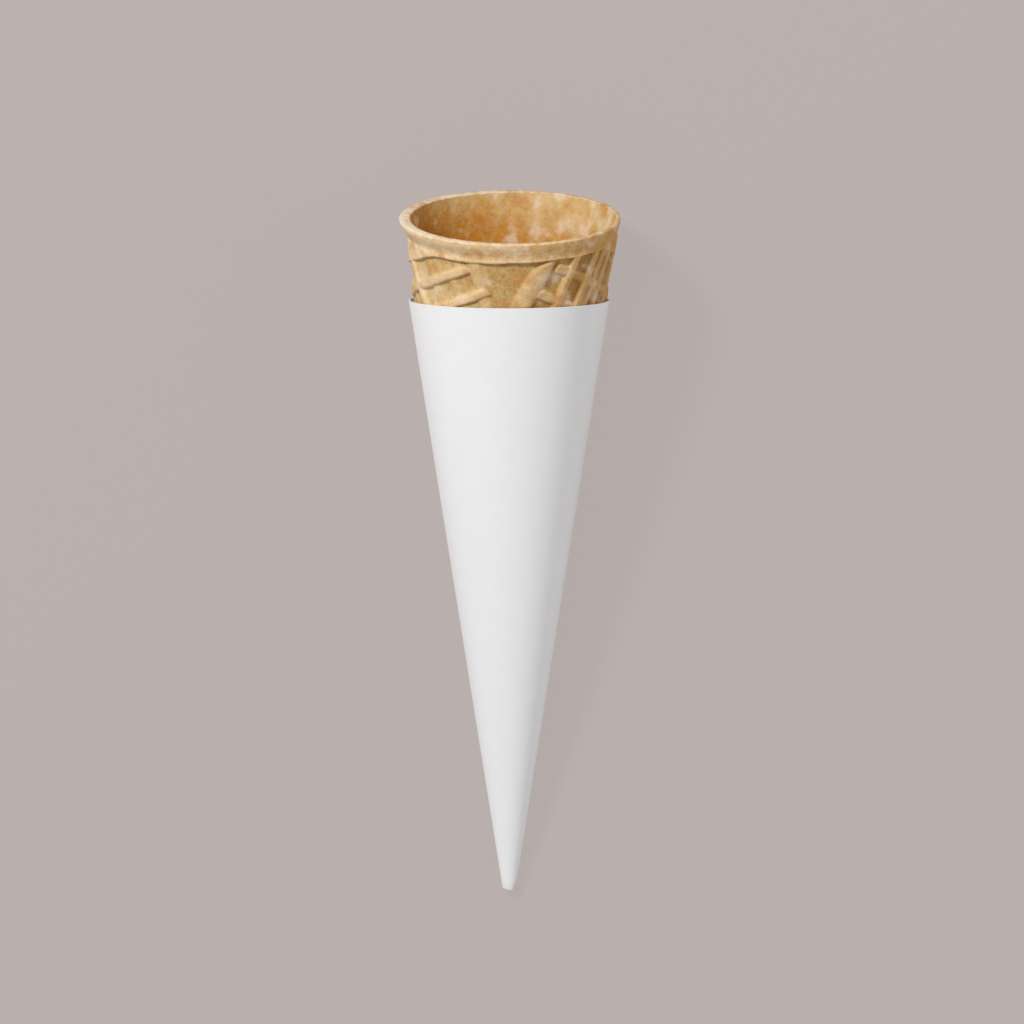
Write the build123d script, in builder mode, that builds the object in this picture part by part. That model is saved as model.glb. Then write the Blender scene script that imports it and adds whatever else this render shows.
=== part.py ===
from build123d import *
import os
from math import atan, cos, degrees, pi, radians, sin, tan

# An ice cream cone sleeve of white paper with the wafer cone it was made for seated in it.
# All sizes are in millimetres and degrees. A depth is measured along the cone's axis from
# the plane of the wafer's rim towards the tip. An azimuth is an angle round the axis, from
# 0 at the front, which is the side turned up, through 90 at the right.
# The assembly lies on its side: +Z is up, the mouth looks along +Y and the tip along -Y.

# Paper sleeve
paper = 0.3                  # thickness of the sheet
sleeve_mouth_radius = 22.35  # outside of the sheet, where the mouth's plane meets the axis
sleeve_tip_radius = 1.28
sleeve_length = 137.1        # along the axis
mouth_slant = 9.6            # the mouth is cut higher at the front than at the back
sheet_start = 168.0          # azimuth of the sheet's inner edge
overlap = 42.0               # angle by which the sheet's end laps over its start
tip_plug = 0.9               # height of the pressed tip, where the sheet closes on itself
tip_slant = 20.0             # the tip's end is a little askew
tip_offset = 0.8             # its lowest point lies this far to the right
tip_corner = 3.0             # height of the soft corner on its right
tip_corner_bulge = 0.25
rest_arc = 16.0              # part of the turn that is pressed flat where it lies

# Wafer cone, outside
reveal = 19.2                # rim plane over the middle of the sleeve's mouth
seat_gap = 0.15              # between the wafer and the inside of the sleeve
shoulder = 1.6               # how far the band's foot stands out past the sleeve's inside
flare = 1.5                  # how far the rim stands out past the band's foot
lip_width = 1.8              # the lip is a half round of this width
lip_flats = 4                # turned in this many flats
band_depth = 5.0             # smooth band under the lip
band_waist = 0.4             # how far the band's middle stands out past its foot
tip_room = 16.3              # between the tips of the wafer and the sleeve
wafer_tip_round = 2.4

# Wafer cone, inside
wall = 2.4                   # from the seat to the inside
throat_depth = 5.5           # where the mouth's flare ends
hollow_end = 12.0            # solid wafer between the hollow and the wafer's tip
hollow_round = 1.8

# Lattice: pockets pressed into the wall leave ribs between them
pocket = 0.65                # how deep they are
lattice_tuck = 0.7           # how far the lattice runs on behind the sleeve's lowest edge
rib_width = 1.5
steep_slope = 62.0           # to the plane of the rim
steep_pitch = 17.6           # angle from one steep rib to the next
steep_count = 4
first_steep = 31.4           # azimuth of the first one at the gauge depth
gauge_depth = 10.8
shallow_slope = 22.8
shallow_pitch = 6.9          # along the axis
shallow_count = 3
shallow_centre = 45.0        # azimuth at which the shallow ribs have their slope
first_shallow = 3.1          # depth of the first one there
border_width = 3.2           # broad ribs beside the plain field at the front and the back
field_half_width = 8.4       # of that field, at the foot of the band
field_close = 19.2           # depth at which its two borders meet

# Worked out from the above
taper = (sleeve_mouth_radius - sleeve_tip_radius) / sleeve_length
half_angle = atan(taper)
across = paper / cos(half_angle)  # the sheet's thickness measured square to the axis
tip_depth = reveal + sleeve_length
wafer_length = tip_depth - tip_room
lattice_end = reveal + sleeve_mouth_radius * tan(radians(mouth_slant)) + lattice_tuck


def sheet_radius(depth):
    """Outside of the sheet's first turn."""
    return sleeve_mouth_radius - (depth - reveal) * taper


def seat_radius(depth):
    """Outside of the wafer where the sleeve holds it."""
    return sheet_radius(depth) - across - seat_gap


def hollow_radius(depth):
    """Inside of the wafer below its throat."""
    return seat_radius(depth) - wall


foot_radius = seat_radius(reveal) + shoulder
rim_radius = foot_radius + flare
reach = rim_radius + 1       # from the axis to clear of the wall
tilt = atan(taper * cos(radians(rest_arc / 2)))  # of the axis, as the sleeve lies

# The outer lap lies on the floor, flat between two of the cone's own straight lines
right = Vector(1, 0, 0)
front = Vector(0, -sin(tilt), cos(tilt))
to_mouth = Vector(0, cos(tilt), sin(tilt))
lip_round = lip_width / 2
mouth_reach = (rim_radius - lip_round) * sin(tilt) + lip_round * (1 - cos(tilt))
rim_height = (sheet_radius(0) + across) / taper * sin(tilt)
rim_centre = Vector(0, (tip_depth * cos(tilt) - mouth_reach) / 2, rim_height)
cone_axis = Axis(rim_centre, to_mouth)


def outward(azimuth):
    """Unit vector away from the axis."""
    turn = radians(azimuth)
    return front * cos(turn) + right * sin(turn)


def axial_plane(azimuth, middle=rim_centre):
    """Half section of the cone: x is a radius and y a depth."""
    out = outward(azimuth)
    return Plane(origin=middle, x_dir=out, z_dir=out.cross(-to_mouth))


def wall_plane(azimuth):
    """Plane in front of the wall: x runs round it, y is a depth and z looks at the axis."""
    out = outward(azimuth)
    return Plane(origin=rim_centre + out * reach, x_dir=outward(azimuth + 90), z_dir=-out)


# Bars where the ribs stay, for one quarter of the lattice
with BuildPart() as bars:
    # Shallow ribs run down and round to the side
    for number in range(shallow_count):
        with BuildSketch(wall_plane(shallow_centre)):
            with Locations((0, first_shallow + number * shallow_pitch)):
                Rectangle(3 * reach, rib_width, rotation=shallow_slope)
        extrude(amount=reach)

    # Steep ribs run down and round to the front
    for number in range(steep_count):
        with BuildSketch(wall_plane(first_steep + number * steep_pitch)):
            with Locations((0, gauge_depth)):
                Rectangle(3 * lattice_end, rib_width, rotation=-steep_slope)
        extrude(amount=reach)

    # The plain field is cleared of both
    field_run = field_half_width / (field_close - band_depth)
    with BuildSketch(wall_plane(0)):
        with BuildLine():
            Polyline(
                (field_half_width + band_depth * field_run, 0),
                (0, field_close),
                (-reach, field_close),
                (-reach, 0),
                close=True,
            )
        make_face()
    extrude(amount=reach, mode=Mode.SUBTRACT)

    # Its border
    with BuildSketch(wall_plane(0)):
        with Locations((field_half_width / 2, (band_depth + field_close) / 2)):
            Rectangle(3 * lattice_end, border_width, rotation=-degrees(atan(1 / field_run)))
    extrude(amount=reach)

# Pockets between the bars, for a quarter of the wall, and then all round it
with BuildPart() as pockets:
    with BuildSketch(axial_plane(0)):
        with BuildLine():
            Polyline(
                (foot_radius - pocket, band_depth),
                (reach, band_depth),
                (reach, lattice_end),
                (seat_radius(lattice_end) - pocket, lattice_end),
                close=True,
            )
        make_face()
    revolve(axis=cone_axis, revolution_arc=90)
    add(bars.part, mode=Mode.SUBTRACT)
    mirror(about=Plane(origin=rim_centre, z_dir=right))
    mirror(about=Plane(origin=rim_centre, z_dir=front))

# Wafer cone: a baked shell, turned about the axis, with the lattice pressed into it
with BuildPart() as wafer_cone:
    hollow_depth = wafer_length - hollow_end
    lip_turns = [pi * step / lip_flats for step in range(lip_flats + 1)]
    with BuildSketch(axial_plane(0)):
        with BuildLine():
            Polyline(
                *[
                    (rim_radius - lip_round * (1 + cos(turn)), lip_round * (1 - sin(turn)))
                    for turn in lip_turns
                ],
                (foot_radius + band_waist, (lip_round + band_depth) / 2),
                (foot_radius, band_depth),
                (seat_radius(lattice_end), lattice_end),
                (seat_radius(wafer_length), wafer_length),
                (0, wafer_length),
                (0, hollow_depth),
                (hollow_radius(hollow_depth), hollow_depth),
                (hollow_radius(throat_depth), throat_depth),
                close=True,
            )
        make_face()
    revolve(axis=cone_axis)
    tip_edge, hollow_edge = wafer_cone.edges().filter_by(GeomType.CIRCLE).group_by(cone_axis)[:2]
    chamfer(tip_edge, length=wafer_tip_round)
    chamfer(hollow_edge, length=hollow_round)
    add(pockets.part, mode=Mode.SUBTRACT)

# Paper sleeve: one sheet wound round the cone, whose end laps over its start
with BuildPart() as paper_sleeve:

    def sheet_section(lift):
        """The sheet from the mouth to the tip, lifted off its first turn."""
        Polyline(
            (sheet_radius(0) - across + lift, 0),
            (sheet_radius(0) + lift, 0),
            (sheet_radius(tip_depth) + lift, tip_depth),
            (sheet_radius(tip_depth) - across + lift, tip_depth),
            close=True,
        )

    # The first half turn is round the cone's own axis
    with BuildSketch(axial_plane(sheet_start)):
        with BuildLine():
            sheet_section(0)
        make_face()
    revolve(axis=cone_axis, revolution_arc=180)

    # The second rises by the sheet's thickness, to come down on its start
    second_middle = rim_centre + outward(sheet_start) * (across / 2)
    with BuildSketch(axial_plane(sheet_start + 180, second_middle)):
        with BuildLine():
            sheet_section(across / 2)
        make_face()
    revolve(axis=Axis(second_middle, to_mouth), revolution_arc=180)

    # The lap goes on over it
    with BuildSketch(axial_plane(sheet_start)):
        with BuildLine():
            sheet_section(across)
        make_face()
    revolve(axis=cone_axis, revolution_arc=overlap)

    # The tip is pressed shut
    plug_top = tip_depth - tip_plug
    with BuildSketch(axial_plane(0)):
        with BuildLine():
            Polyline(
                (0, plug_top),
                (sheet_radius(plug_top) - across / 2, plug_top),
                (sheet_radius(tip_depth) - across / 2, tip_depth),
                (0, tip_depth),
                close=True,
            )
        make_face()
    revolve(axis=cone_axis)

    # Its end is askew, with a soft corner
    corner_depth = tip_depth - tip_corner
    with BuildSketch(wall_plane(0)):
        with BuildLine():
            corner = SagittaArc(
                (sheet_radius(corner_depth) + across, corner_depth),
                (tip_offset, tip_depth),
                tip_corner_bulge,
            )
            left_depth = tip_depth - (tip_offset + reach) * tan(radians(tip_slant))
            Polyline(
                corner @ 1,
                (-reach, left_depth),
                (-reach, tip_depth + reach),
                (reach, tip_depth + reach),
                (reach, corner_depth),
                corner @ 0,
            )
        make_face()
    extrude(amount=2 * reach, mode=Mode.SUBTRACT)

    # The mouth is cut on a slant
    mouth_up = to_mouth * cos(radians(mouth_slant)) - front * sin(radians(mouth_slant))
    split(bisect_by=Plane(origin=rim_centre - to_mouth * reveal, z_dir=mouth_up), keep=Keep.BOTTOM)

    # The underside is flat where it lies
    split(bisect_by=Plane.XY, keep=Keep.TOP)

wafer_cone.part.label = "wafer_cone"
paper_sleeve.part.label = "paper_sleeve"

os.makedirs("parts", exist_ok=True)
export_step(wafer_cone.part, "parts/wafer_cone.step")
export_step(paper_sleeve.part, "parts/paper_sleeve.step")
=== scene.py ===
"""Looks of a white paper cone sleeve and the wafer cone seated in it, lying on its side.

Sizes are in millimetres and angles in degrees until they reach a mesh, which is in metres.
A depth runs along the cone's axis from the wafer's rim towards the tip. An azimuth turns
round the axis from 0 at the front, which is the side turned up, through 90 at the right.
"""

import logging
from dataclasses import dataclass, field, fields
from enum import Enum
from math import atan, cos, pi, radians, sin, tan
from typing import Any

import bpy
import numpy as np
from mathutils import Matrix, Vector


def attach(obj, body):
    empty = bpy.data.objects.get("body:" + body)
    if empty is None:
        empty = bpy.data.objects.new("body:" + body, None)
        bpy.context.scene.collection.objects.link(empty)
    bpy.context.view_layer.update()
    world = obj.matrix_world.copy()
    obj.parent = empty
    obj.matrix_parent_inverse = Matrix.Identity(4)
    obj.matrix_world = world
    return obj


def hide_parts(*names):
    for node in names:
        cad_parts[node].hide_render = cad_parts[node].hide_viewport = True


MM = 0.001
BODY = "root"
IMAGE_SIDE = 1024

MATH = "ShaderNodeMath"
VECTOR_MATH = "ShaderNodeVectorMath"
MAP_RANGE = "ShaderNodeMapRange"
NOISE = "ShaderNodeTexNoise"
MIX = "ShaderNodeMix"
ATTRIBUTE_IN_MESH = "GeometryNodeInputNamedAttribute"
# What a step does when it isn't plain arithmetic: a kind of node with its settings
RAMP = (MAP_RANGE, {})
SMOOTH_RAMP = (MAP_RANGE, {"interpolation_type": "SMOOTHSTEP"})
PLUS, MINUS, TIMES, AT_LEAST = (
    (VECTOR_MATH, {"operation": operation})
    for operation in ("ADD", "SUBTRACT", "MULTIPLY", "MAXIMUM")
)
# Settings of a mix of two colours
COLOURS = {"data_type": "RGBA", "out": "Result"}

Outputs = dict[str, Any]
Sides = tuple[float, float]
Shades = tuple[str, str]
Object = bpy.types.Object
Material = bpy.types.Material
NodeTree = bpy.types.NodeTree
NodeSocket = bpy.types.NodeSocket

log = logging.getLogger("cone")


class Slot(Enum):
    """Material slots of the record."""

    SLEEVE = "sleeve_paper"
    WAFER = "baked_wafer"


def linear(colour: str) -> tuple[float, float, float, float]:
    """Turns an sRGB hex value to linear light.

    Args:
        colour: Six hex digits with or without a leading mark.

    Returns:
        Red, green, blue and an alpha of one.
    """
    digits = colour.lstrip("#")
    channels = [int(digits[i : i + 2], 16) / 255 for i in (0, 2, 4)]
    values = [c / 12.92 if c <= 0.04045 else ((c + 0.055) / 1.055) ** 2.4 for c in channels]
    return values[0], values[1], values[2], 1.0


def add_node(
    tree: NodeTree,
    kind: str,
    inputs: dict[Any, Any] | tuple[Any, ...] = (),
    out: int | str = 0,
    **settings: Any,
) -> NodeSocket | None:
    """Adds one node with its settings and links.

    Args:
        tree: Tree that gets the node.
        kind: Blender's name for the kind of node.
        inputs: Value or linked output for each input, by name or number, or in their order.
        out: Name or number of the output that is wanted.
        settings: Properties of the node.

    Returns:
        That output, or None where the node has none.
    """
    node = tree.nodes.new(kind)
    for name, value in settings.items():
        setattr(node, name, value)
    given = inputs if isinstance(inputs, dict) else dict(enumerate(inputs))
    for key, value in given.items():
        if isinstance(value, NodeSocket):
            tree.links.new(value, node.inputs[key])
        else:
            node.inputs[key].default_value = value
    return node.outputs[out] if node.outputs else None


def add_steps(tree: NodeTree, at: Outputs, *steps: tuple[Any, ...]) -> None:
    """Adds one node for each row of a table.

    Args:
        tree: Tree that gets the nodes.
        at: Outputs by name, which gets the output of each row.
        steps: For each node its output's name, what it does and its inputs in their order, as
            names or values. What it does is the operation of a Math node, or another kind of
            node with its settings.
    """
    for name, what, *inputs in steps:
        kind, settings = (MATH, {"operation": what}) if isinstance(what, str) else what
        at[name] = add_node(tree, kind, tuple(at.get(term, term) for term in inputs), **settings)


def add_surface(
    tree: NodeTree,
    colour: NodeSocket,
    roughness: NodeSocket,
    height: dict[str, Any],
    skin: dict[str, float],
) -> None:
    """Ends a material's tree in a surface with a fine relief.

    Args:
        tree: Tree that gets the nodes.
        colour: Output with the surface's colour.
        roughness: Output with its roughness.
        height: Inputs of the relief: its height, how deep it is in metres and its strength.
        skin: Further inputs of the surface.
    """
    surface = {"Base Color": colour, "Roughness": roughness} | skin
    surface["Normal"] = add_node(tree, "ShaderNodeBump", height)
    shader = add_node(tree, "ShaderNodeBsdfPrincipled", surface)
    add_node(tree, "ShaderNodeOutputMaterial", {"Surface": shader})


def empty_tree(owner: Material | bpy.types.World) -> NodeTree:
    """Gives a material or a world its node tree, with nothing in it.

    Args:
        owner: Material or world.

    Returns:
        The tree.
    """
    owner.use_nodes = True
    owner.node_tree.nodes.clear()
    return owner.node_tree


def place_object(name: str, data: bpy.types.ID) -> Object:
    """Makes an object of a mesh, a light or a camera and puts it in the scene.

    Args:
        name: Name of the object.
        data: What the object shows.

    Returns:
        The new object.
    """
    piece = bpy.data.objects.new(name, data)
    bpy.context.scene.collection.objects.link(piece)
    return piece


@dataclass(frozen=True)
class SheetSizes:
    """Sizes of the sleeve's sheet, as in the part's source."""

    paper: float = 0.3
    mouth_radius: float = 22.35
    tip_radius: float = 1.28
    length: float = 137.1
    mouth_slant: float = 9.6
    sheet_start: float = 168.0
    overlap: float = 42.0
    rest_arc: float = 16.0
    reveal: float = 19.2
    seat_gap: float = 0.15
    wall: float = 2.4

    @property
    def taper(self) -> float:
        """Radius lost for each millimetre of depth."""
        return (self.mouth_radius - self.tip_radius) / self.length

    @property
    def across(self) -> float:
        """The sheet's thickness measured square to the axis."""
        return self.paper / cos(atan(self.taper))

    @property
    def tip_depth(self) -> float:
        """Depth of the sleeve's tip."""
        return self.reveal + self.length

    def sheet_radius(self, depth: float) -> float:
        """Outside of the sheet's first turn."""
        return self.mouth_radius - (depth - self.reveal) * self.taper

    def seat_radius(self, depth: float) -> float:
        """Outside of the wafer where the sleeve holds it."""
        return self.sheet_radius(depth) - self.across - self.seat_gap

    def hollow_radius(self, depth: float) -> float:
        """Inside of the wafer below its throat."""
        return self.seat_radius(depth) - self.wall


@dataclass(frozen=True)
class Stance:
    """Where the cone's axis lies: the outer lap rests on the floor along one flat strip."""

    sheet: SheetSizes = SheetSizes()
    rim_radius: float = 24.9965
    lip_round: float = 0.9

    @property
    def tilt(self) -> float:
        """Angle of the axis to the floor, in radians."""
        return atan(self.sheet.taper * cos(radians(self.sheet.rest_arc / 2)))

    @property
    def right(self) -> Vector:
        """Across the cone, towards azimuth 90."""
        return Vector((1, 0, 0))

    @property
    def front(self) -> Vector:
        """Across the cone, towards azimuth 0."""
        return Vector((0, -sin(self.tilt), cos(self.tilt)))

    @property
    def to_mouth(self) -> Vector:
        """Along the axis, out of the mouth."""
        return Vector((0, cos(self.tilt), sin(self.tilt)))

    @property
    def rim_centre(self) -> Vector:
        """Where the axis meets the plane of the rim, in millimetres."""
        reach = (self.rim_radius - self.lip_round) * sin(self.tilt)
        reach += self.lip_round * (1 - cos(self.tilt))
        along = (self.sheet.tip_depth * cos(self.tilt) - reach) / 2
        apex = (self.sheet.sheet_radius(0) + self.sheet.across) / self.sheet.taper
        return Vector((0, along, apex * sin(self.tilt)))

    def outward(self, azimuth: np.ndarray) -> np.ndarray:
        """Unit vectors away from the axis, one for each azimuth in radians."""
        ahead = np.cos(azimuth)[:, None] * np.array(self.front)
        return ahead + np.sin(azimuth)[:, None] * np.array(self.right)

    def points(self, azimuth: np.ndarray, radius: np.ndarray, depth: np.ndarray) -> np.ndarray:
        """Places points given round the cone's axis.

        Args:
            azimuth: Turns round the axis, in radians.
            radius: Distances from the axis, in millimetres.
            depth: Depths, in millimetres.

        Returns:
            One row of x, y and z for each point, in metres.
        """
        middle = np.array(self.rim_centre) - depth[:, None] * np.array(self.to_mouth)
        return (middle + radius[:, None] * self.outward(azimuth)) * MM


def add_attribute(mesh: bpy.types.Mesh, name: str, values: np.ndarray) -> None:
    """Stores one number, or one vector, for each vertex of a mesh.

    Args:
        mesh: Mesh that gets the attribute.
        name: Name of the attribute.
        values: One row for each vertex.
    """
    vector = values.ndim == 2
    attribute = mesh.attributes.new(name, "FLOAT_VECTOR" if vector else "FLOAT", "POINT")
    key = "vector" if vector else "value"
    attribute.data.foreach_set(key, values.astype(np.float32).ravel())


def new_object(name: str, points: np.ndarray, faces: list[tuple[int, ...]]) -> Object:
    """Makes a smooth mesh object and puts it in the scene.

    Args:
        name: Name of the object and its mesh.
        points: One row of x, y and z for each vertex, in metres.
        faces: Vertex numbers of each face.

    Returns:
        The new object.
    """
    mesh = bpy.data.meshes.new(name)
    mesh.from_pydata(points.tolist(), [], faces)
    mesh.polygons.foreach_set("use_smooth", [True] * len(mesh.polygons))
    mesh.update()
    return place_object(name, mesh)


@dataclass
class ShapingTree:
    """A Geometry Nodes tree with named inputs, which shapes a mesh and gives it its material."""

    name: str
    sizes: Any
    finish: Material
    tree: NodeTree = field(init=False)
    given: dict[str, NodeSocket] = field(init=False)
    values: dict[str, Any] = field(init=False, default_factory=dict)
    keys: dict[str, str] = field(init=False, default_factory=dict)
    mesh_in: NodeSocket = field(init=False)

    def __post_init__(self) -> None:
        """Makes the tree and its inputs, one for each of the sizes, or for each of its sides."""
        self.tree = bpy.data.node_groups.new(self.name, "GeometryNodeTree")
        interface = self.tree.interface
        interface.new_socket("Geometry", in_out="INPUT", socket_type="NodeSocketGeometry")
        interface.new_socket("Geometry", in_out="OUTPUT", socket_type="NodeSocketGeometry")
        kinds = {int: "NodeSocketInt", float: "NodeSocketFloat", Vector: "NodeSocketVector"}
        for size in fields(self.sizes):
            value = getattr(self.sizes, size.name)
            if isinstance(value, tuple):
                self.values["left_" + size.name], self.values["right_" + size.name] = value
            else:
                self.values[size.name] = value
        for name, value in self.values.items():
            label = name.replace("_", " ").capitalize()
            made = interface.new_socket(label, in_out="INPUT", socket_type=kinds[type(value)])
            self.keys[name] = made.identifier
        self.mesh_in, *entries = add_node(self.tree, "NodeGroupInput").node.outputs
        self.given = dict(zip(self.keys, entries))

    def close(self, shaped: NodeSocket) -> None:
        """Ends the tree in real geometry with the finish on it.

        Args:
            shaped: Output that carries the shaped mesh.
        """
        real = add_node(self.tree, "GeometryNodeRealizeInstances", {"Geometry": shaped})
        dressed = add_node(
            self.tree, "GeometryNodeSetMaterial", {"Geometry": real, "Material": self.finish}
        )
        add_node(self.tree, "NodeGroupOutput", {"Geometry": dressed})

    def apply(self, piece: Object) -> None:
        """Runs the tree on a piece and keeps the result as its plain mesh.

        Args:
            piece: Object whose mesh the tree shapes.
        """
        modifier = piece.modifiers.new(self.name, "NODES")
        modifier.node_group = self.tree
        for name, value in self.values.items():
            modifier[self.keys[name]] = list(value) if isinstance(value, Vector) else value
        graph = bpy.context.evaluated_depsgraph_get()
        result = bpy.data.meshes.new_from_object(
            piece.evaluated_get(graph), preserve_all_data_layers=True, depsgraph=graph
        )
        piece.modifiers.remove(modifier)
        piece.data = result


@dataclass(frozen=True)
class BakedWafer:
    """Moulded and baked wafer: matt and short-grained, golden brown where the iron was hottest
    and floury where it barely touched, paler on the crests, with a cream rim and pinholes. Light
    and shade are painted on it too: paler on the outside's left and the inside's right, darker deep
    inside."""

    shell: Shades = ("#C0914B", "#E5CAA0")
    recess: Shades = ("#9A6B2C", "#C4A970")
    crest: Shades = ("#C2965C", "#DABB8E")
    inside: Shades = ("#BA7C20", "#C6A973")
    rim: Shades = ("#CBAC82", "#DED3BE")
    scorched: str = "#B4732C"
    floury: str = "#E2C9AF"
    pinhole: str = "#7A4A1E"
    # Painted light and shade: how strongly the outside is painted paler on the left and the inside
    # paler on the right
    one_sided: float = 1.0
    # Painted shade: how much darker the inside is painted away from the rim
    deepening: float = 0.9
    shade_mm: float = 12.0
    contrast: float = 3.8
    bias: float = 0.1
    patch_mm: float = 5.0
    patch_part: float = 0.3
    mottle_mm: float = 1.3
    mottle_part: float = 0.38
    crumb_mm: float = 0.45
    crumb_part: float = 0.32
    crumb_depth_mm: float = 0.14
    spot_mm: float = 4.2
    pinhole_mm: float = 3.4
    pinhole_edge: tuple[float, float] = (0.14, 0.05)
    edge_gaps: tuple[float, float] = (0.3, 0.6)
    # Painted light: from where on the inside's painted lit side the floury spots grow, and how many
    # more there are
    flour_start: float = 0.6
    flour_gain: float = 0.16
    relief: float = 0.8
    specular: float = 0.35
    shine_span: tuple[float, float] = (0.3, 0.7)
    roughness: tuple[float, float] = (0.6, 0.78)

    def material(self) -> Material:
        """Builds the material, which reads the wafer's own attributes and Object coordinates."""
        finish = bpy.data.materials.new("baked_wafer")
        tree = empty_tree(finish)
        place = add_node(tree, "ShaderNodeTexCoord", out="Object")
        at = {
            name: add_node(tree, "ShaderNodeAttribute", attribute_name=name, out="Fac")
            for name in ("relief", "lattice", "inside", "rim", "toast", "depth")
        }
        noises = (("patch", 3.0), ("spot", 6.0), ("mottle", 4.0), ("crumb", 3.0))
        for number, (name, detail) in enumerate(noises):
            scale = 1 / (getattr(self, name + "_mm") * MM)
            at[name] = add_node(
                tree,
                NOISE,
                {"Vector": place, "Scale": scale, "Detail": detail, "W": number},
                out="Fac",
                noise_dimensions="4D",
            )
        at["cells"] = add_node(
            tree,
            "ShaderNodeTexVoronoi",
            {"Vector": place, "Scale": 1 / (self.pinhole_mm * MM), "Randomness": 1.0},
            out="Distance",
        )
        # Painted light and shade, as from the key lamp on the left: the outside is paler on the
        # left and darker on the right, the inside darker on the left and paler on the right
        painted_lit_side = add_node(tree, MATH, (1.0, at["toast"]), operation="SUBTRACT")
        ends = {"A": painted_lit_side, "B": at["toast"]}
        at["painted_lit_side"] = add_node(tree, MIX, {"Factor": at["inside"]} | ends, out="Result")
        middle = (self.contrast + self.one_sided) / 2 + self.bias
        half = self.deepening / 2
        add_steps(
            tree,
            at,
            # Broad patches of heat, with a finer mottling and the crumb over them
            ("tone", "MULTIPLY", "patch", self.patch_part * self.contrast),
            ("tone", "MULTIPLY_ADD", "mottle", self.mottle_part * self.contrast, "tone"),
            ("tone", "MULTIPLY_ADD", "crumb", self.crumb_part * self.contrast, "tone"),
            ("tone", "MULTIPLY_ADD", "painted_lit_side", self.one_sided, "tone"),
            # Painted shade: the inside darkens away from the rim
            ("painted_deep_shade", RAMP, "depth", 0.0, self.shade_mm, half, -half),
            ("tone", "MULTIPLY_ADD", "painted_deep_shade", "inside", "tone"),
            ("pale", RAMP, "tone", middle - 0.5, middle + 0.5),
            # The rim's cream edge comes and goes
            ("edge", RAMP, "mottle", *self.edge_gaps),
            ("edge", "MULTIPLY", "rim", "edge"),
            # Pinholes left by steam are few and small, with a soft dark edge
            ("hole", SMOOTH_RAMP, "cells", *self.pinhole_edge),
            # Floury spots lie at random, and painted light adds more of them on the inside's lit
            # right side and fewer on its left
            ("flour_and_painted_light", "SUBTRACT", "toast", self.flour_start),
            ("flour_and_painted_light", "MULTIPLY", "flour_and_painted_light", "inside"),
            ("flour_and_painted_light", "MULTIPLY_ADD", "flour_and_painted_light", self.flour_gain, "spot"),
            # Short crumb on the surface, with the pinholes sunk in it
            ("height", "MULTIPLY_ADD", "crumb", 0.5, "mottle"),
            ("height", "MULTIPLY_ADD", "hole", -0.5, "height"),
            ("shine", RAMP, "crumb", *self.shine_span, *self.roughness),
        )
        colour = None
        zones = (("recess", "lattice"), ("crest", "relief"), ("inside", "inside"), ("rim", "edge"))
        for zone, mark in (("shell", None),) + zones:
            dark, light = map(linear, getattr(self, zone))
            shade = add_node(tree, MIX, {"Factor": at["pale"], "A": dark, "B": light}, **COLOURS)
            if mark:
                ends = {"A": colour, "B": shade}
                shade = add_node(tree, MIX, {"Factor": at[mark]} | ends, **COLOURS)
            colour = shade
        # Scorched spots, floury spots with their painted light, and the pinholes: where each
        # starts, is whole, and how strong
        for value, tint, *span in (
            ("spot", self.scorched, 0.48, 0.34, 0.0, 0.55),
            ("flour_and_painted_light", self.floury, 0.53, 0.65, 0.0, 0.6),
            ("hole", self.pinhole, 0.0, 1.0, 0.0, 0.2),
        ):
            mask = add_node(tree, MAP_RANGE, (at[value], *span))
            ends = {"A": colour, "B": linear(tint)}
            colour = add_node(tree, MIX, {"Factor": mask} | ends, **COLOURS)
        height = {"Height": at["height"], "Distance": self.crumb_depth_mm * MM}
        height["Strength"] = self.relief
        add_surface(tree, colour, at["shine"], height, {"Specular IOR Level": self.specular})
        return finish


@dataclass(frozen=True)
class BleachedPaper:
    """Bleached and calendered paper of 0.3 mm: white and neutral, nearly matt, with a
    fine cloudy fibre that just breaks up the shading, and a brighter raw edge."""

    face: str = "#EDEDEE"
    cloud: str = "#E7E8E8"
    raw_edge: str = "#F4F4F3"
    cloud_mm: float = 4.0
    # Real fibres are about 0.03 mm thick, too fine to show, so these are ten times as coarse
    fibre_mm: float = 0.35
    fibre_depth_mm: float = 0.02
    drawn_out: float = 0.35
    relief: float = 0.5
    specular: float = 0.3
    sheen: float = 0.38
    sheen_roughness: float = 0.35
    roughness: tuple[float, float] = (0.49, 0.63)

    def material(self) -> Material:
        """Builds the material on Object coordinates, with the cut edge from an attribute."""
        finish = bpy.data.materials.new("bleached_paper")
        tree = empty_tree(finish)
        place = add_node(tree, "ShaderNodeTexCoord", out="Object")
        # Fibres lie along the sheet, so the pattern is drawn out that way
        along = add_node(
            tree, "ShaderNodeMapping", {"Vector": place, "Scale": (1.0, self.drawn_out, 1.0)}
        )
        clouds, fibres = (
            add_node(tree, NOISE, {"Vector": way, "Scale": 1 / (size * MM)} | settings, out="Fac")
            for way, size, settings in (
                (place, self.cloud_mm, {"Detail": 5.0}),
                (along, self.fibre_mm, {"Detail": 4.0, "Distortion": 0.6}),
            )
        )
        cut = add_node(tree, "ShaderNodeAttribute", attribute_name="cut", out="Fac")
        colour = linear(self.face)
        for mask, tint in ((clouds, self.cloud), (cut, self.raw_edge)):
            ends = {"A": colour, "B": linear(tint)}
            colour = add_node(tree, MIX, {"Factor": mask} | ends, **COLOURS)
        shine = add_node(tree, MAP_RANGE, (fibres, 0.0, 1.0, *self.roughness))
        height = {"Height": fibres, "Distance": self.fibre_depth_mm * MM, "Strength": self.relief}
        nap = {"Sheen Weight": self.sheen, "Sheen Roughness": self.sheen_roughness}
        add_surface(tree, colour, shine, height, nap | {"Specular IOR Level": self.specular})
        return finish


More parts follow.
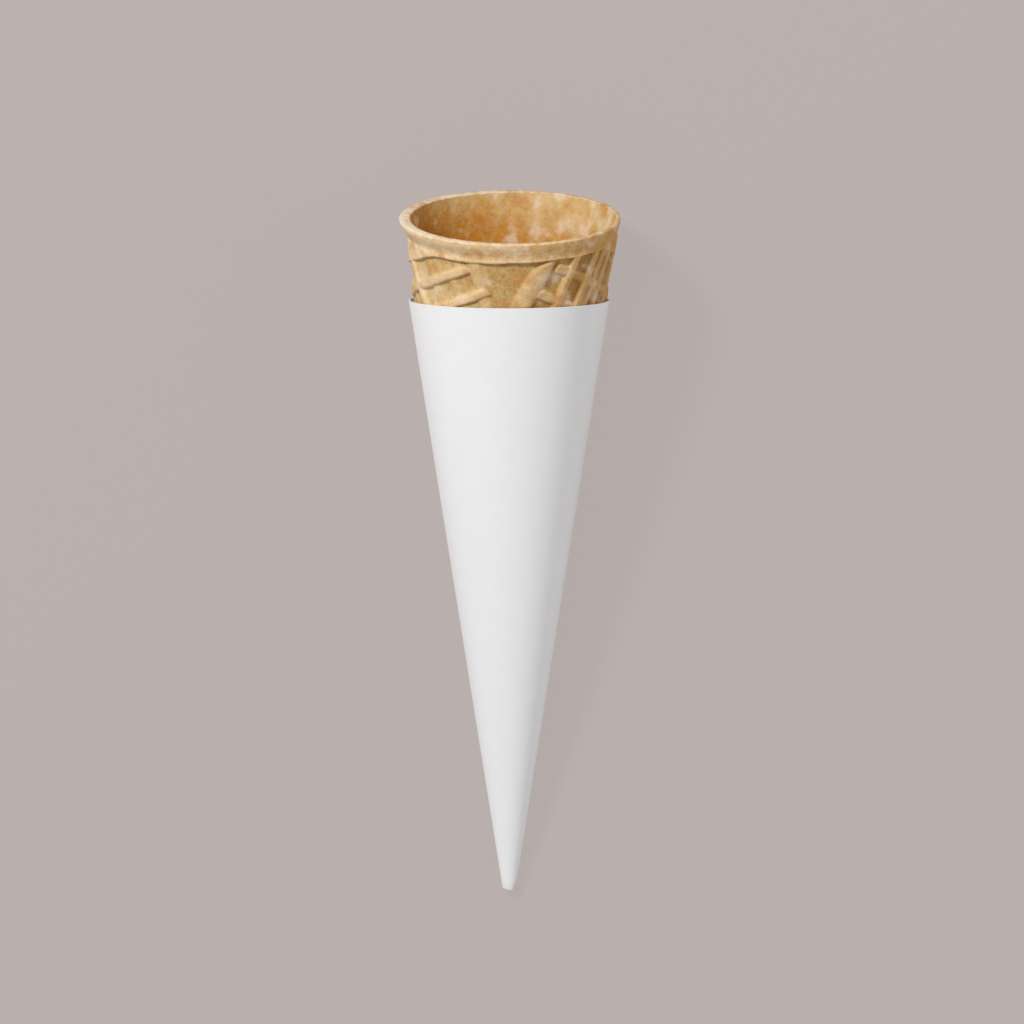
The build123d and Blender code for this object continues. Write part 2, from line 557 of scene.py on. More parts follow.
@dataclass(frozen=True)
class LatticeSizes:
    """Named inputs of the lattice's tree: millimetres, radians and counts. The two halves of the
    mould are not quite alike, so sizes that differ are given for the left and then the right."""

    steep_count: int = 5
    steep_pitch: Sides = (radians(16.3), radians(15.6))
    first_steep: Sides = (radians(33.8), radians(35.5))
    steep_slope: Sides = (radians(62.0), radians(69.0))
    steep_height: Sides = (0.4, 1.0)
    gauge_depth: float = 10.8
    stray_count: int = 1
    stray_pitch: Sides = (0.0, 0.0)
    first_stray: Sides = (radians(70.0), radians(58.4))
    stray_slope: Sides = (radians(52.0), radians(65.0))
    stray_height: Sides = (1.0, 0.9)
    shallow_count: int = 3
    shallow_pitch: Sides = (6.9, 7.6)
    first_shallow: Sides = (10.1, 10.1)
    shallow_slope: Sides = (radians(21.8), radians(26.0))
    shallow_height: Sides = (1.0, 0.8)
    shallow_centre: float = radians(45.0)
    end_gap: Sides = (12.4, 14.0)
    end_run: Sides = (1.03, 0.81)
    ear_gap: Sides = (18.9, 25.1)
    ear_run: Sides = (-3.1, -2.4)
    rib_foot: float = 1.38
    rib_fullness: float = 4.2
    border_crown: float = 0.3
    border_gap: Sides = (8.6, 8.8)
    border_run: Sides = (0.36, 0.54)
    border_width: Sides = (3.2, 4.8)
    border_height: Sides = (0.62, 0.9)
    border_shoulder: float = 0.4
    corner_round: Sides = (0.6, 8.0)
    band_depth: float = 4.85
    band_step: float = 0.35
    lattice_end: float = 23.7
    pocket: float = 1.2
    seat_pocket: float = 0.55
    turned: float = radians(-1.8)
    lean: float = 0.5
    wander: float = 0.8
    wear: float = 0.3
    blister: float = 0.1
    blister_level: float = 0.75
    chip: float = 0.3
    side_start: float = -1.5
    side_end: float = 1.5
    ear_start: float = -0.6
    ear_end: float = 0.6
    end_near: float = 0.2
    end_far: float = 0.5
    fade_start: float = 14.0
    fade_end: float = 20.0
    rib_blend: float = 0.2
    border_blend: float = 0.15
    to_mouth: Vector = field(default_factory=lambda: Stance().to_mouth)
    seed: float = 3.0


def line_steps(name: str) -> tuple[tuple[Any, ...], ...]:
    """Gives the steps of a slanting line that comes nearer to the front as it goes down.

    Args:
        name: Name of the line, whose gap is its distance from the front at the band's foot and
            whose run is what it loses for each millimetre of depth.

    Returns:
        Rows that end in the line's distance from the front.
    """
    return (
        ("above", "SUBTRACT", "band_depth", "depth"),
        (name, "MULTIPLY_ADD", "above", name + "_run", name + "_gap"),
    )


# Where a place is in the pattern: how far round from the front, and how deep
FOLDING = (
    ("sway", "MULTIPLY", "sway", "wander"),
    ("heave", "MULTIPLY", "heave", "wander"),
    # The pattern repeats in each quarter of the turn
    ("around", "SUBTRACT", "own_azimuth", "turned"),
    ("sine", "SINE", "around"),
    ("cosine", "COSINE", "around"),
    ("sideways", "ABSOLUTE", "sine"),
    ("forwards", "ABSOLUTE", "cosine"),
    ("folded", "ARCTAN2", "sideways", "forwards"),
    ("along", "MULTIPLY_ADD", "folded", "own_radius", "sway"),
    ("depth", "ADD", "own_depth", "heave"),
    ("depth", "MULTIPLY_ADD", "sine", "lean", "depth"),
    # Nought on the left and one on the right, with a short change between them
    ("across", "MULTIPLY", "sine", "own_radius"),
    ("half", SMOOTH_RAMP, "across", "side_start", "side_end"),
)

# The ribs' wear, and the broad border of the plain field on them
BORDER = (
    ("worn", "MULTIPLY_ADD", "wear_here", "wear", 1.0),
    ("relief", "MULTIPLY", "relief", "worn"),
    ("apart", "SUBTRACT", "along", "border"),
    ("slope", "ARCTANGENT", "border_run"),
    ("slope", "COSINE", "slope"),
    ("reach", "MULTIPLY", "border_width", 0.5),
    # How far a place is inside each of its edges, with a round corner at the band's foot
    ("near", "MULTIPLY_ADD", "apart", "slope", "reach"),
    ("far", "MULTIPLY", "apart", "slope"),
    ("far", "SUBTRACT", "reach", "far"),
    ("below", "SUBTRACT", "depth", "band_depth"),
    ("near", "SMOOTH_MIN", "near", "below", "corner_round"),
    ("inside", "MINIMUM", "near", "far"),
    ("shoulder", "MULTIPLY", "border_shoulder", -1.0),
    ("broad", SMOOTH_RAMP, "inside", "shoulder", "border_shoulder"),
    # Its top is a little crowned
    ("side", "DIVIDE", "apart", "reach"),
    ("side", "MULTIPLY", "side", "side"),
    ("side", "MINIMUM", "side", 1.0),
    ("side", "MULTIPLY", "side", "border_crown"),
    ("crown", "SUBTRACT", 1.0, "side"),
    ("broad", "MULTIPLY", "broad", "crown"),
    ("broad", "MULTIPLY", "broad", "border_height"),
    ("relief", "SMOOTH_MAX", "relief", "broad", "border_blend"),
)

# How deep each place is sunk, from the height of the ribs there
SINKING = (
    # The band's foot stands over the pockets, lower at the sides
    ("band_foot", "ADD", "band_depth", "band_step"),
    ("under", SMOOTH_RAMP, "depth", "band_depth", "band_foot"),
    ("ear", "SUBTRACT", "ear", "along"),
    ("ear", SMOOTH_RAMP, "ear", "ear_start", "ear_end"),
    # The sleeve hides their lower end, where they are shallower
    ("end_far", "ADD", "lattice_end", "end_far"),
    ("end_near", "SUBTRACT", "lattice_end", "end_near"),
    ("over", SMOOTH_RAMP, "own_depth", "end_far", "end_near"),
    ("fading", RAMP, "own_depth", "fade_start", "fade_end", "pocket", "seat_pocket"),
    ("mask", "MULTIPLY", "under", "ear"),
    ("mask", "MULTIPLY", "mask", "over"),
    ("mask", "MULTIPLY", "mask", "own_pressed"),
    ("crest", "MULTIPLY", "relief", "mask"),
    ("hollow", "SUBTRACT", 1.0, "relief"),
    ("sunk", "MULTIPLY", "hollow", "mask"),
    ("sunk", "MULTIPLY", "sunk", "fading"),
    ("offset", "SUBTRACT", "blisters", "blister_level"),
    ("offset", "MULTIPLY", "offset", "blister"),
    ("offset", "SUBTRACT", "offset", "sunk"),
    # The rim is a little ragged
    ("ragged", "MULTIPLY", "blisters", "own_rim"),
    ("ragged", "MULTIPLY", "ragged", "chip"),
    ("outwards", TIMES, "own_outward", "offset"),
    ("chipped", TIMES, "to_mouth", "ragged"),
    ("shaped", MINUS, "outwards", "chipped"),
    ("shaped", TIMES, "shaped", (MM, MM, MM)),
)


@dataclass
class WaferCone:
    """The wafer cone: a lathed shell whose wall gets its lattice of ribs from a node tree."""

    sheet: SheetSizes
    stance: Stance
    finish: Material
    lattice: LatticeSizes = LatticeSizes()
    columns: int = 560
    foot_radius: float = 23.5
    wafer_length: float = 140.0
    hollow_end: float = 12.0
    tip_round: float = 2.4
    # Outside of the lip and the flare under it: radius, depth and how far its circle lies right
    flare: tuple[tuple[float, float, float], ...] = (
        (24.77, 0.55, 0.22),
        (24.58, 1.4, 0.28),
        (24.05, 2.5, 0.48),
        (23.58, 3.5, 0.68),
        (23.45, 4.25, 0.76),
    )
    # Inside of the throat
    throat: tuple[tuple[float, float, float], ...] = (
        (22.98, 0.6, 1.0), (22.72, 1.6, 0.95), (22.2, 3.4, 0.8), (21.55, 5.8, 0.6)
    )
    # Depth, and how far the wall's circle lies to the right of the axis there
    shifts: tuple[tuple[float, float], ...] = (
        (4.95, 0.78), (7.2, 0.7), (10.6, 0.5), (14.2, 0.4), (19.0, 0.25), (24.0, 0.1), (40.0, 0.0)
    )
    lip_flatness: float = 0.7
    rim_width: float = 0.4
    rim_fullness: float = 1.4
    # Painted light: the azimuth where the outside is painted palest and the inside darkest
    pale_side: float = -75.0
    # Rows of each stretch of the section, from the tip up the outside and down the inside
    tip_rows: int = 4
    seat_rows: int = 16
    wall_rows: int = 94
    flare_rows: int = 13
    lip_rows: int = 14
    throat_rows: int = 12
    hollow_rows: int = 22
    # The lip's row where the inside's finish begins, and the rows in which it comes up
    inside_start: int = 9
    inside_rows: int = 7
    # Close rows run on below the lattice by this depth
    wall_tail: float = 1.2
    tip_opening: float = 0.15
    tip_flatness: float = 0.6
    hollow_shift: float = 0.8
    hollow_cap: float = 0.4
    drift_mm: float = 8.0
    blister_mm: float = 2.6

    def shift(self, depth: float) -> float:
        """How far the wall's circle lies to the right of the axis, in millimetres."""
        depths, shifts = zip(*self.shifts)
        return float(np.interp(depth, depths, shifts))

    def run(
        self, points: tuple[tuple[float, float, float], ...], count: int
    ) -> list[tuple[float, float, float]]:
        """Divides a line through points with a smooth curve.

        Args:
            points: Radius, depth and shift of each.
            count: How many rows the curve gets.

        Returns:
            The rows, without the last point.
        """
        knots = np.array((points[0],) + points + (points[-1],), float)
        rows = []
        for place in np.linspace(0, len(points) - 1, count, endpoint=False):
            leg = int(place)
            t = place - leg
            a, b, c, d = knots[leg : leg + 4]
            cubic = 2 * a - 5 * b + 4 * c - d + t * (3 * (b - c) + d - a)
            rows.append(tuple(b + 0.5 * t * (c - a + t * cubic)))
        return rows

    def rows(self) -> tuple[np.ndarray, np.ndarray, np.ndarray]:
        """Lists the rows of the section from the wafer's tip up the outside and down the inside.

        Returns:
            Rows of radius, depth and shift, and for each row whether it is in the lattice and
            how far it is on the inside.
        """
        sheet, size = self.sheet, self.lattice
        outside = []
        seat_end = self.wafer_length - self.tip_round
        for turn in np.linspace(self.tip_opening, 1, self.tip_rows, endpoint=False):
            out = sin(turn * pi / 2)
            end = self.wafer_length - self.tip_round * (1 - out) * self.tip_flatness
            outside.append((sheet.seat_radius(self.wafer_length) * out, end, 0))
        wall_end = size.lattice_end + self.wall_tail
        for depth in np.linspace(seat_end, wall_end, self.seat_rows, endpoint=False):
            outside.append((sheet.seat_radius(depth), depth, self.shift(depth)))
        end_radius = sheet.seat_radius(size.lattice_end)
        top = self.flare[-1][1]
        wall = []
        for depth in np.linspace(wall_end, top, self.wall_rows, endpoint=False):
            part = (depth - size.band_depth) / (size.lattice_end - size.band_depth)
            radius = self.foot_radius + (end_radius - self.foot_radius) * part
            radius = min(radius, sheet.seat_radius(depth)) if depth > size.lattice_end else radius
            wall.append((radius, depth, self.shift(depth)))
        flare = self.run(tuple(reversed(self.flare)), self.flare_rows)
        # The lip runs over from the outside to the inside as a flattened half round
        lip = []
        outer, inner = np.array(self.flare[0]), np.array(self.throat[0])
        for turn in np.linspace(0, pi, self.lip_rows, endpoint=False):
            lie = np.sign(cos(turn)) * abs(cos(turn)) ** self.lip_flatness
            row = inner + (outer - inner) * (1 + lie) / 2
            row[1] *= 1 - sin(turn) ** self.lip_flatness
            lip.append(tuple(row))
        throat = self.run(self.throat, self.throat_rows)
        hollow = []
        hollow_depth = self.wafer_length - self.hollow_end
        for depth in np.geomspace(self.throat[-1][1], hollow_depth, self.hollow_rows):
            aside = self.shift(depth) * self.hollow_shift
            hollow.append((sheet.hollow_radius(depth), depth, aside))
        rows = outside + wall + flare + lip + throat + hollow
        lattice = np.zeros(len(rows))
        lattice[len(outside) : len(outside) + len(wall)] = 1
        before = len(outside) + len(wall) + len(flare) + self.inside_start
        inside = np.clip((np.arange(len(rows)) - before) / (self.inside_rows - 1), 0, 1)
        return np.array(rows), lattice, inside

    def lathe(self) -> Object:
        """Turns the section round the axis into a closed shell with its own attributes.

        Returns:
            The object, before the lattice is pressed in.
        """
        section, lattice, inside = self.rows()
        turns = np.arange(self.columns) * 2 * pi / self.columns
        azimuth = np.tile(turns, len(section))
        radius, depth, shift = (np.repeat(section[:, i], self.columns) for i in range(3))
        points = self.stance.points(azimuth, radius, depth)
        points += shift[:, None] * np.array(self.stance.right) * MM
        tips = np.array([self.wafer_length, section[-1, 1] + self.hollow_cap])
        ends = self.stance.points(np.zeros(2), np.zeros(2), tips)
        count = len(points)
        faces = []
        for row in range(len(section) - 1):
            low, high = row * self.columns, (row + 1) * self.columns
            for column in range(self.columns):
                after = (column + 1) % self.columns
                faces.append((low + column, low + after, high + after, high + column))
        for column in range(self.columns):
            after = (column + 1) % self.columns
            faces.append((count, after, column))
            faces.append((count + 1, count - self.columns + column, count - self.columns + after))
        piece = new_object("wafer_cone_baked", np.vstack([points, ends]), faces)
        marks = {
            "azimuth": azimuth,
            "depth": depth,
            "radius": radius,
            "pressed": np.repeat(lattice, self.columns),
            "inside": np.repeat(inside, self.columns),
            "rim": np.clip(self.rim_fullness - depth / self.rim_width, 0, 1),
            # Painted light and shade across the cone: nought at the painted lit azimuth on the
            # left, one on the right
            "toast": 0.5 - 0.5 * np.cos(azimuth - radians(self.pale_side)),
        }
        for name, values in marks.items():
            add_attribute(piece.data, name, np.append(values, (0.0, 0.0)))
        side = np.where(marks["inside"] > 0.5, -1.0, 1.0)
        out = self.stance.outward(azimuth) * side[:, None]
        add_attribute(piece.data, "outward", np.vstack([out, np.zeros((2, 3))]))
        return piece

    def press_tree(self) -> ShapingTree:
        """Builds the tree that presses the pockets in and leaves the ribs between them."""
        shaping = ShapingTree("pressed_lattice", self.lattice, self.finish)
        tree, at = shaping.tree, dict(shaping.given)
        for name in ("azimuth", "depth", "radius", "pressed", "rim"):
            at["own_" + name] = add_node(tree, ATTRIBUTE_IN_MESH, {"Name": name}, data_type="FLOAT")
        outward = {"Name": "outward"}
        at["own_outward"] = add_node(tree, ATTRIBUTE_IN_MESH, outward, data_type="FLOAT_VECTOR")
        place = add_node(tree, "GeometryNodeInputPosition")
        # Hand-made moulds are never quite true, so the pattern wanders a little, and the batter
        # leaves low blisters all over
        drift, at["blisters"] = (
            add_node(
                tree,
                NOISE,
                {"Vector": place, "W": at["seed"], "Scale": 1 / (size * MM), "Detail": detail},
                out=out,
                noise_dimensions="4D",
            )
            for size, detail, out in ((self.drift_mm, 2.0, "Color"), (self.blister_mm, 3.0, "Fac"))
        )
        lanes = add_node(tree, "ShaderNodeSeparateXYZ", (drift,)).node.outputs
        for name, lane in zip(("sway", "heave", "wear_here"), lanes):
            at[name] = add_node(tree, MATH, (lane, 0.5), operation="SUBTRACT")
        add_steps(tree, at, *FOLDING)
        for side in shaping.given:
            if side.startswith("left_"):
                name = side.removeprefix("left_")
                ends = {"A": at[side], "B": at["right_" + name]}
                at[name] = add_node(tree, MIX, {"Factor": at["half"]} | ends, out="Result")
        for family in ("steep", "stray", "shallow"):
            at["relief"] = self.rib_family(tree, at, family)
        add_steps(tree, at, *line_steps("border"), *BORDER, *line_steps("ear"), *SINKING)
        moved = add_node(
            tree, "GeometryNodeSetPosition", {"Geometry": shaping.mesh_in, "Offset": at["shaped"]}
        )
        for name, value in (("relief", "crest"), ("lattice", "mask")):
            moved = add_node(
                tree,
                "GeometryNodeStoreNamedAttribute",
                {"Geometry": moved, "Name": name, "Value": at[value]},
                data_type="FLOAT",
                domain="POINT",
            )
        shaping.close(moved)
        return shaping

    def rib_family(self, tree: NodeTree, at: Outputs, family: str) -> NodeSocket:
        """Adds a family of parallel ribs, one for each turn of a repeat zone.

        Args:
            tree: Tree that gets the nodes.
            at: Outputs by name. Relief is the height so far, from nought at the pockets' floor
                to one at the crests.
            family: Steep or stray for ribs that lean to the front as they go down, or shallow
                for ribs that lean to the side.

        Returns:
            The height with this family on it.
        """
        zone_in = tree.nodes.new("GeometryNodeRepeatInput")
        zone_out = tree.nodes.new("GeometryNodeRepeatOutput")
        zone_in.pair_with_output(zone_out)
        zone_out.repeat_items.clear()
        zone_out.repeat_items.new("FLOAT", "Relief")
        tree.links.new(at[family + "_count"], zone_in.inputs["Iterations"])
        if "relief" in at:
            tree.links.new(at["relief"], zone_in.inputs["Relief"])
        at = at | {"turn": zone_in.outputs["Iteration"], "before": zone_in.outputs["Relief"]}
        shallow = family == "shallow"
        add_steps(
            tree,
            at,
            ("step", "MULTIPLY_ADD", "turn", family + "_pitch", "first_" + family),
            ("away", "MULTIPLY", "shallow_centre" if shallow else "step", "own_radius"),
            ("away", "SUBTRACT", "along", "away"),
            ("below", "SUBTRACT", "depth", "step" if shallow else "gauge_depth"),
            ("rise", "SINE", family + "_slope"),
            ("lie", "COSINE", family + "_slope"),
            ("leaning", "MULTIPLY", "away", "rise"),
            ("leaning", "MULTIPLY", "leaning", -1.0 if shallow else 1.0),
            ("distance", "MULTIPLY_ADD", "below", "lie", "leaning"),
        )
        if shallow:
            # Shallow ribs end round, short of the plain field
            add_steps(
                tree,
                at,
                *line_steps("end"),
                ("past", "SUBTRACT", "end", "along"),
                ("past", "MAXIMUM", "past", 0.0),
            )
            flat = add_node(tree, "ShaderNodeCombineXYZ", (at["distance"], at["past"], 0.0))
            at["distance"] = add_node(tree, VECTOR_MATH, (flat,), "Value", operation="LENGTH")
        add_steps(
            tree,
            at,
            # Each is a rounded bar
            ("part", "ABSOLUTE", "distance"),
            ("part", "DIVIDE", "part", "rib_foot"),
            ("part", "POWER", "part", "rib_fullness"),
            ("height", "SUBTRACT", 1.0, "part"),
            ("height", "MAXIMUM", "height", 0.0),
            ("height", "MULTIPLY", "height", family + "_height"),
            ("joined", "SMOOTH_MAX", "before", "height", "rib_blend"),
        )
        tree.links.new(at["joined"], zone_out.inputs["Relief"])
        return zone_out.outputs["Relief"]

    def build(self) -> Object:
        """Makes the wafer cone and lets it stand for its CAD node."""
        piece = self.lathe()
        self.press_tree().apply(piece)
        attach(piece, BODY)
        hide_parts("wafer_cone")
        return piece


@dataclass(frozen=True)
class WindingSizes:
    """Named inputs of the winding tree: millimetres, radians and directions."""

    rim_centre: Vector
    right: Vector
    front: Vector
    to_mouth: Vector
    taper: float
    across: float
    mouth_radius: float
    reveal: float
    tip_depth: float
    mouth_slope: float
    sheet_start: float
    tip_slope: float = tan(radians(12.0))
    tip_reach: float = 1.45
    tip_offset: float = 0.8
    corner_slope: float = 3.6
    corner_blend: float = 0.35
    nose: float = 0.6
    press: float = 0.8


# Where each place of the sheet comes: round the axis, and down it to the nose
WINDING = (
    ("azimuth", "ADD", "own_turn", "sheet_start"),
    ("sine", "SINE", "azimuth"),
    ("cosine", "COSINE", "azimuth"),
    # The sheet rises by its own thickness in its second half turn, to lie on its start
    ("rising", "COSINE", "second_half"),
    ("rising", "MULTIPLY_ADD", "rising", 0.5, 0.5),
    ("lift", "MULTIPLY", "rising", "across"),
    # The mouth is cut on a slant
    ("slope", "MULTIPLY", "cosine", "mouth_slope"),
    ("drop", "MULTIPLY", "slope", "taper"),
    ("drop", "SUBTRACT", 1.0, "drop"),
    ("slope", "DIVIDE", "slope", "drop"),
    ("lower", "MULTIPLY", "slope", "mouth_radius"),
    ("mouth", "SUBTRACT", "reveal", "lower"),
    # The tip's end is askew, with a soft corner on its right, and closes at the axis
    ("bend", "MULTIPLY", "own_nose", pi / 2),
    ("bend_sine", "SINE", "bend"),
    ("bend_cosine", "COSINE", "bend"),
    ("side", "MULTIPLY", "sine", "bend_cosine"),
    ("side", "MULTIPLY", "side", "tip_reach"),
    ("side", "SUBTRACT", "side", "tip_offset"),
    ("left", "MULTIPLY_ADD", "side", "tip_slope", "tip_depth"),
    ("fall", "MULTIPLY", "side", "corner_slope"),
    ("corner", "SUBTRACT", "tip_depth", "fall"),
    ("limit", "SMOOTH_MIN", "left", "corner", "corner_blend"),
    ("straight", "SUBTRACT", "limit", "nose"),
)

# The round end, the sheet's two skins, and the place itself
CLOSING = (
    ("depth", "MULTIPLY_ADD", "bend_sine", "nose", "depth"),
    ("beyond", "SUBTRACT", "depth", "reveal"),
    ("narrow", "MULTIPLY", "beyond", "taper"),
    ("radius", "SUBTRACT", "mouth_radius", "narrow"),
    ("under", "SUBTRACT", 1.0, "own_skin"),
    ("inner", "MULTIPLY", "under", "across"),
    ("radius", "SUBTRACT", "radius", "inner"),
    ("radius", "MULTIPLY", "radius", "bend_cosine"),
    ("pressed", "MULTIPLY", "bend_sine", "press"),
    ("pressed", "SUBTRACT", 1.0, "pressed"),
    ("radius", "MULTIPLY_ADD", "lift", "pressed", "radius"),
    # Inside, the round end is a sheet's thickness nearer to the mouth
    ("back", "MULTIPLY", "inner", "bend_sine"),
    ("depth", "SUBTRACT", "depth", "back"),
    ("ahead", TIMES, "front", "cosine"),
    ("aside", TIMES, "right", "sine"),
    ("out", PLUS, "ahead", "aside"),
    ("out", TIMES, "out", "radius"),
    ("down", TIMES, "to_mouth", "depth"),
    ("spot", MINUS, "rim_centre", "down"),
    ("spot", PLUS, "spot", "out"),
    ("spot", TIMES, "spot", (MM, MM, MM)),
    # It lies flat on the floor
    ("spot", AT_LEAST, "spot", (-1.0, -1.0, 0.0)),
)


@dataclass
class PaperSleeve:
    """The sleeve: a flat blank with a real thickness, which a node tree winds into a cone."""

    sheet: SheetSizes
    stance: Stance
    finish: Material
    turns: int = 201
    rows: int = 90
    nose_rows: int = 8
    crease: float = 50.0
    flat_scale: float = 0.1

    def blank(self) -> Object:
        """Makes the flat blank as a closed plate of quads with its places as attributes.

        Returns:
            The object, whose vertices hold their turn, run, nose and skin.
        """
        whole = radians(360 + self.sheet.overlap)
        turn = np.linspace(0, whole, self.turns)
        run = np.concatenate([np.linspace(0, 1, self.rows), np.ones(self.nose_rows)])
        nose = np.concatenate([np.zeros(self.rows), np.linspace(0, 1, self.nose_rows + 1)[1:]])
        across = len(run)
        # One ring of each column: down the outside, up the inside, and the raw edge at the mouth
        ring_run = np.concatenate([run, run[::-1], [0.0]])
        ring_nose = np.concatenate([nose, nose[::-1], [0.0]])
        ring_skin = np.concatenate([np.ones(across), np.zeros(across), [0.5]])
        ring = len(ring_run)
        faces = []
        for column in range(self.turns - 1):
            for row in range(ring):
                a = column * ring + row
                b = column * ring + (row + 1) % ring
                faces.append((a, b, b + ring, a + ring))
        for column, flip in ((0, False), (self.turns - 1, True)):
            base = column * ring
            for row in range(across - 1):
                quad = (base + row, base + ring - 2 - row, base + ring - 3 - row, base + row + 1)
                faces.append(tuple(reversed(quad)) if flip else quad)
            cap = (base, base + ring - 1, base + ring - 2)
            faces.append(tuple(reversed(cap)) if flip else cap)
        places = {
            "turn": np.repeat(turn, ring),
            "run": np.tile(ring_run, self.turns),
            "nose": np.tile(ring_nose, self.turns),
            "skin": np.tile(ring_skin, self.turns),
        }
        flat = np.stack([places["turn"], places["run"], places["skin"]], 1) * self.flat_scale
        piece = new_object("paper_sleeve_wound", flat, faces)
        for name, values in places.items():
            add_attribute(piece.data, name, values)
        add_attribute(piece.data, "cut", np.where(places["skin"] == 0.5, 1.0, 0.0))
        return piece

    def winding_tree(self) -> ShapingTree:
        """Builds the tree that winds the blank: lap over start, slanted mouth and pressed tip."""
        sheet, stance = self.sheet, self.stance
        sizes = WindingSizes(
            rim_centre=stance.rim_centre,
            right=stance.right,
            front=stance.front,
            to_mouth=stance.to_mouth,
            taper=sheet.taper,
            across=sheet.across,
            mouth_radius=sheet.mouth_radius,
            reveal=sheet.reveal,
            tip_depth=sheet.tip_depth,
            mouth_slope=tan(radians(sheet.mouth_slant)),
            sheet_start=radians(sheet.sheet_start),
        )
        shaping = ShapingTree("wound_sheet", sizes, self.finish)
        tree, at = shaping.tree, dict(shaping.given)
        for name in ("turn", "run", "nose", "skin"):
            at["own_" + name] = add_node(tree, ATTRIBUTE_IN_MESH, {"Name": name}, data_type="FLOAT")
        at["second_half"] = add_node(
            tree, "ShaderNodeClamp", {"Value": at["own_turn"], "Min": pi, "Max": 2 * pi}
        )
        add_steps(tree, at, *WINDING)
        # It runs straight to the nose, and then has a round end
        ends = {"A": at["mouth"], "B": at["straight"]}
        at["depth"] = add_node(tree, MIX, {"Factor": at["own_run"]} | ends, out="Result")
        add_steps(tree, at, *CLOSING)
        wound = add_node(
            tree, "GeometryNodeSetPosition", {"Geometry": shaping.mesh_in, "Position": at["spot"]}
        )
        shaping.close(wound)
        return shaping

    def build(self) -> Object:
        """Makes the sleeve and lets it stand for its CAD node."""
        piece = self.blank()
        self.winding_tree().apply(piece)
        piece.data.set_sharp_from_angle(angle=radians(self.crease))
        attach(piece, BODY)
        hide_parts("paper_sleeve")
        return piece


@dataclass(frozen=True)
class Lamp:
    """A round soft box, placed by the azimuth and rise of the side it comes from. Its strength is
    the light that reaches the wafer's rim, and its spread the angle it is seen under there."""

    name: str
    azimuth: float
    rise: float
    strength: float
    spread: float
    distance: float = 1.3
    colour: str = "#FFFFFF"


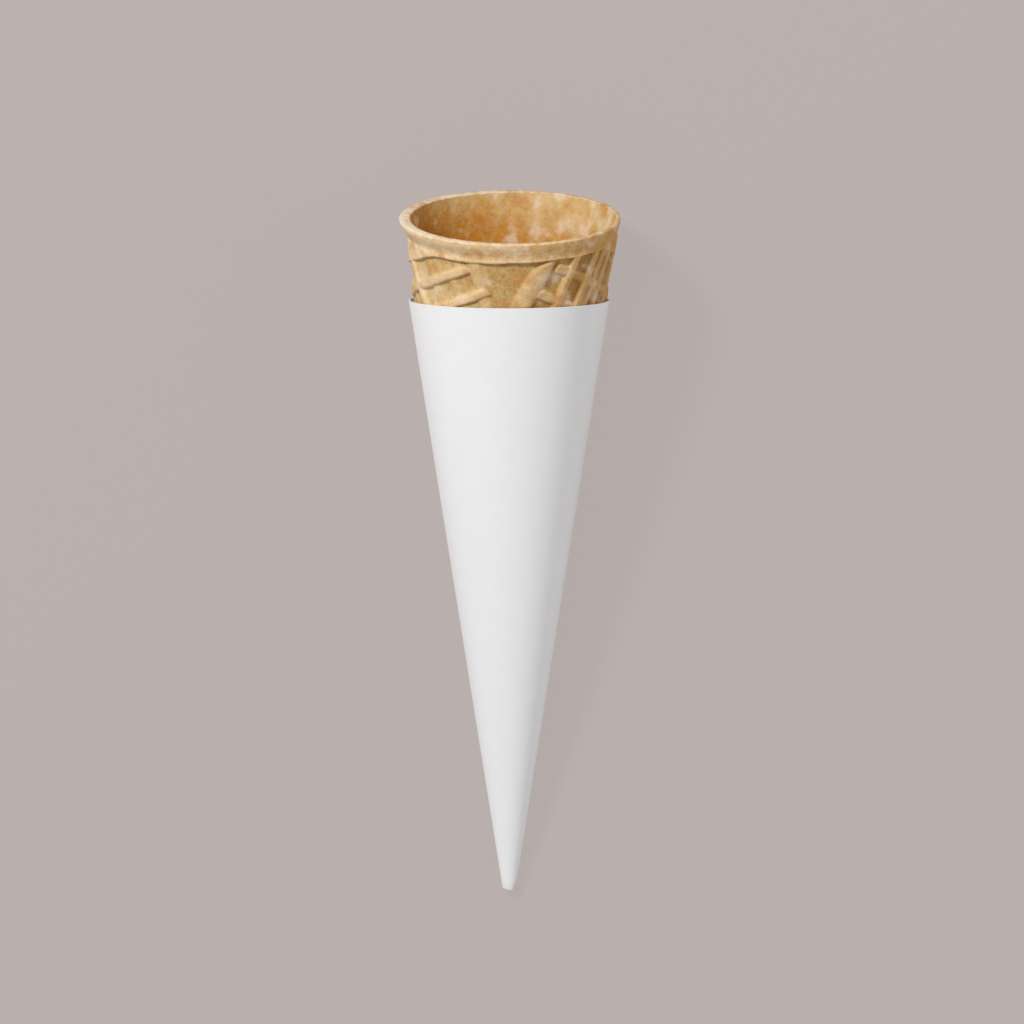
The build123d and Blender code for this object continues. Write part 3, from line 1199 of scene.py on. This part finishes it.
@dataclass
class Studio:
    """Plain pale floor, light from the upper left, a soft lamp for the right edge, and the
    camera of the photograph."""

    stance: Stance
    backdrop: str = "#B9AFAC"
    shadow_kept: float = 0.12
    ambient: float = 0.425
    floor_side: float = 6.0
    lamps: tuple[Lamp, ...] = (
        Lamp("key", azimuth=-36.0, rise=36.0, strength=2.79, spread=12.0),
        Lamp("edge", azimuth=69.0, rise=5.0, strength=1.0, spread=60.0),
    )
    elevation: float = 14.9
    pixels_per_mm: float = 4.479
    rim_pixel: tuple[float, float] = (508.7, 216.4)
    distance: float = 8.0
    sensor: float = 36.0

    def floor(self) -> None:
        """Makes the floor, whose own colour reaches the camera with a soft shadow on it."""
        half = self.floor_side / 2
        corners = np.array([(-half, -half, 0), (half, -half, 0), (half, half, 0), (-half, half, 0)])
        piece = new_object("studio_floor", corners, [(0, 1, 2, 3)])
        finish = bpy.data.materials.new("matt_backdrop")
        tree = empty_tree(finish)
        colour = linear(self.backdrop)
        matt = add_node(tree, "ShaderNodeBsdfDiffuse", {"Color": colour})
        glow = add_node(tree, "ShaderNodeEmission", {"Color": colour, "Strength": 1.0})
        seen = add_node(tree, "ShaderNodeLightPath", out="Is Camera Ray")
        part = add_node(tree, MATH, (seen, 1 - self.shadow_kept), operation="MULTIPLY")
        mixed = add_node(tree, "ShaderNodeMixShader", (part, matt, glow))
        add_node(tree, "ShaderNodeOutputMaterial", {"Surface": mixed})
        piece.data.materials.append(finish)

    def world(self) -> None:
        """Sets even light from all round, and the backdrop's colour past the floor."""
        world = bpy.data.worlds.new("studio")
        tree = empty_tree(world)
        even, plain = (
            add_node(tree, "ShaderNodeBackground", {"Color": colour, "Strength": strength})
            for colour, strength in (((1, 1, 1, 1), self.ambient), (linear(self.backdrop), 1.0))
        )
        seen = add_node(tree, "ShaderNodeLightPath", out="Is Camera Ray")
        mixed = add_node(tree, "ShaderNodeMixShader", (seen, even, plain))
        add_node(tree, "ShaderNodeOutputWorld", {"Surface": mixed})
        bpy.context.scene.world = world

    def light(self, lamp: Lamp) -> None:
        """Adds one soft box.

        Args:
            lamp: Where it comes from, and how strong and soft it is.
        """
        data = bpy.data.lights.new(lamp.name, "AREA")
        data.shape = "DISK"
        data.size = 2 * lamp.distance * tan(radians(lamp.spread / 2))
        data.energy = lamp.strength * pi * lamp.distance**2
        data.color = linear(lamp.colour)[:3]
        piece = place_object(lamp.name, data)
        turn, rise = radians(lamp.azimuth), radians(lamp.rise)
        stance = self.stance
        level = stance.front * cos(turn) + stance.right * sin(turn)
        towards = level * cos(rise) + stance.to_mouth * sin(rise)
        piece.rotation_euler = towards.to_track_quat("Z", "Y").to_euler()
        piece.location = stance.rim_centre * MM + towards * lamp.distance

    def camera(self) -> None:
        """Places the camera over the front of the cone, raised towards its mouth."""
        stance = self.stance
        rise = radians(self.elevation)
        towards = stance.front * cos(rise) + stance.to_mouth * sin(rise)
        up = stance.to_mouth * cos(rise) - stance.front * sin(rise)
        middle = IMAGE_SIDE / 2
        aside = (middle - self.rim_pixel[0]) / self.pixels_per_mm
        below = (middle - self.rim_pixel[1]) / self.pixels_per_mm
        target = (stance.rim_centre + stance.right * aside - up * below) * MM
        data = bpy.data.cameras.new("camera")
        data.sensor_width = self.sensor
        data.lens = self.sensor * self.distance / (IMAGE_SIDE / self.pixels_per_mm * MM)
        data.clip_end = 10 * self.distance
        piece = place_object("camera", data)
        axes = Matrix((stance.right, up, towards)).transposed().to_4x4()
        piece.matrix_world = Matrix.Translation(target + towards * self.distance) @ axes
        bpy.context.scene.camera = piece

    def build(self) -> None:
        """Sets the floor, the light and the camera."""
        self.floor()
        self.world()
        for lamp in self.lamps:
            self.light(lamp)
        self.camera()
        bpy.context.scene.view_settings.view_transform = "Standard"


def main() -> None:
    """Builds the studio, the wafer cone and the sleeve, in that order."""
    logging.basicConfig(level=logging.INFO, format="%(name)s: %(message)s")
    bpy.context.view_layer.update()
    sheet = SheetSizes()
    stance = Stance(sheet)
    Studio(stance).build()
    wafer = WaferCone(sheet, stance, BakedWafer().material()).build()
    sleeve = PaperSleeve(sheet, stance, BleachedPaper().material()).build()
    for piece in (wafer, sleeve):
        log.info("%s has %d faces", piece.name, len(piece.data.polygons))


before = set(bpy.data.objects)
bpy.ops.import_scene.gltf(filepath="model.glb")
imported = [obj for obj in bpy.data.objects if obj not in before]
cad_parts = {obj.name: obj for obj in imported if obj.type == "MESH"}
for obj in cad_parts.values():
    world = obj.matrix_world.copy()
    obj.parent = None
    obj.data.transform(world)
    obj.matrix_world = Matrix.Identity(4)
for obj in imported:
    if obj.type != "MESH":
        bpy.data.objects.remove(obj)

if __name__ == "__main__":
    main()
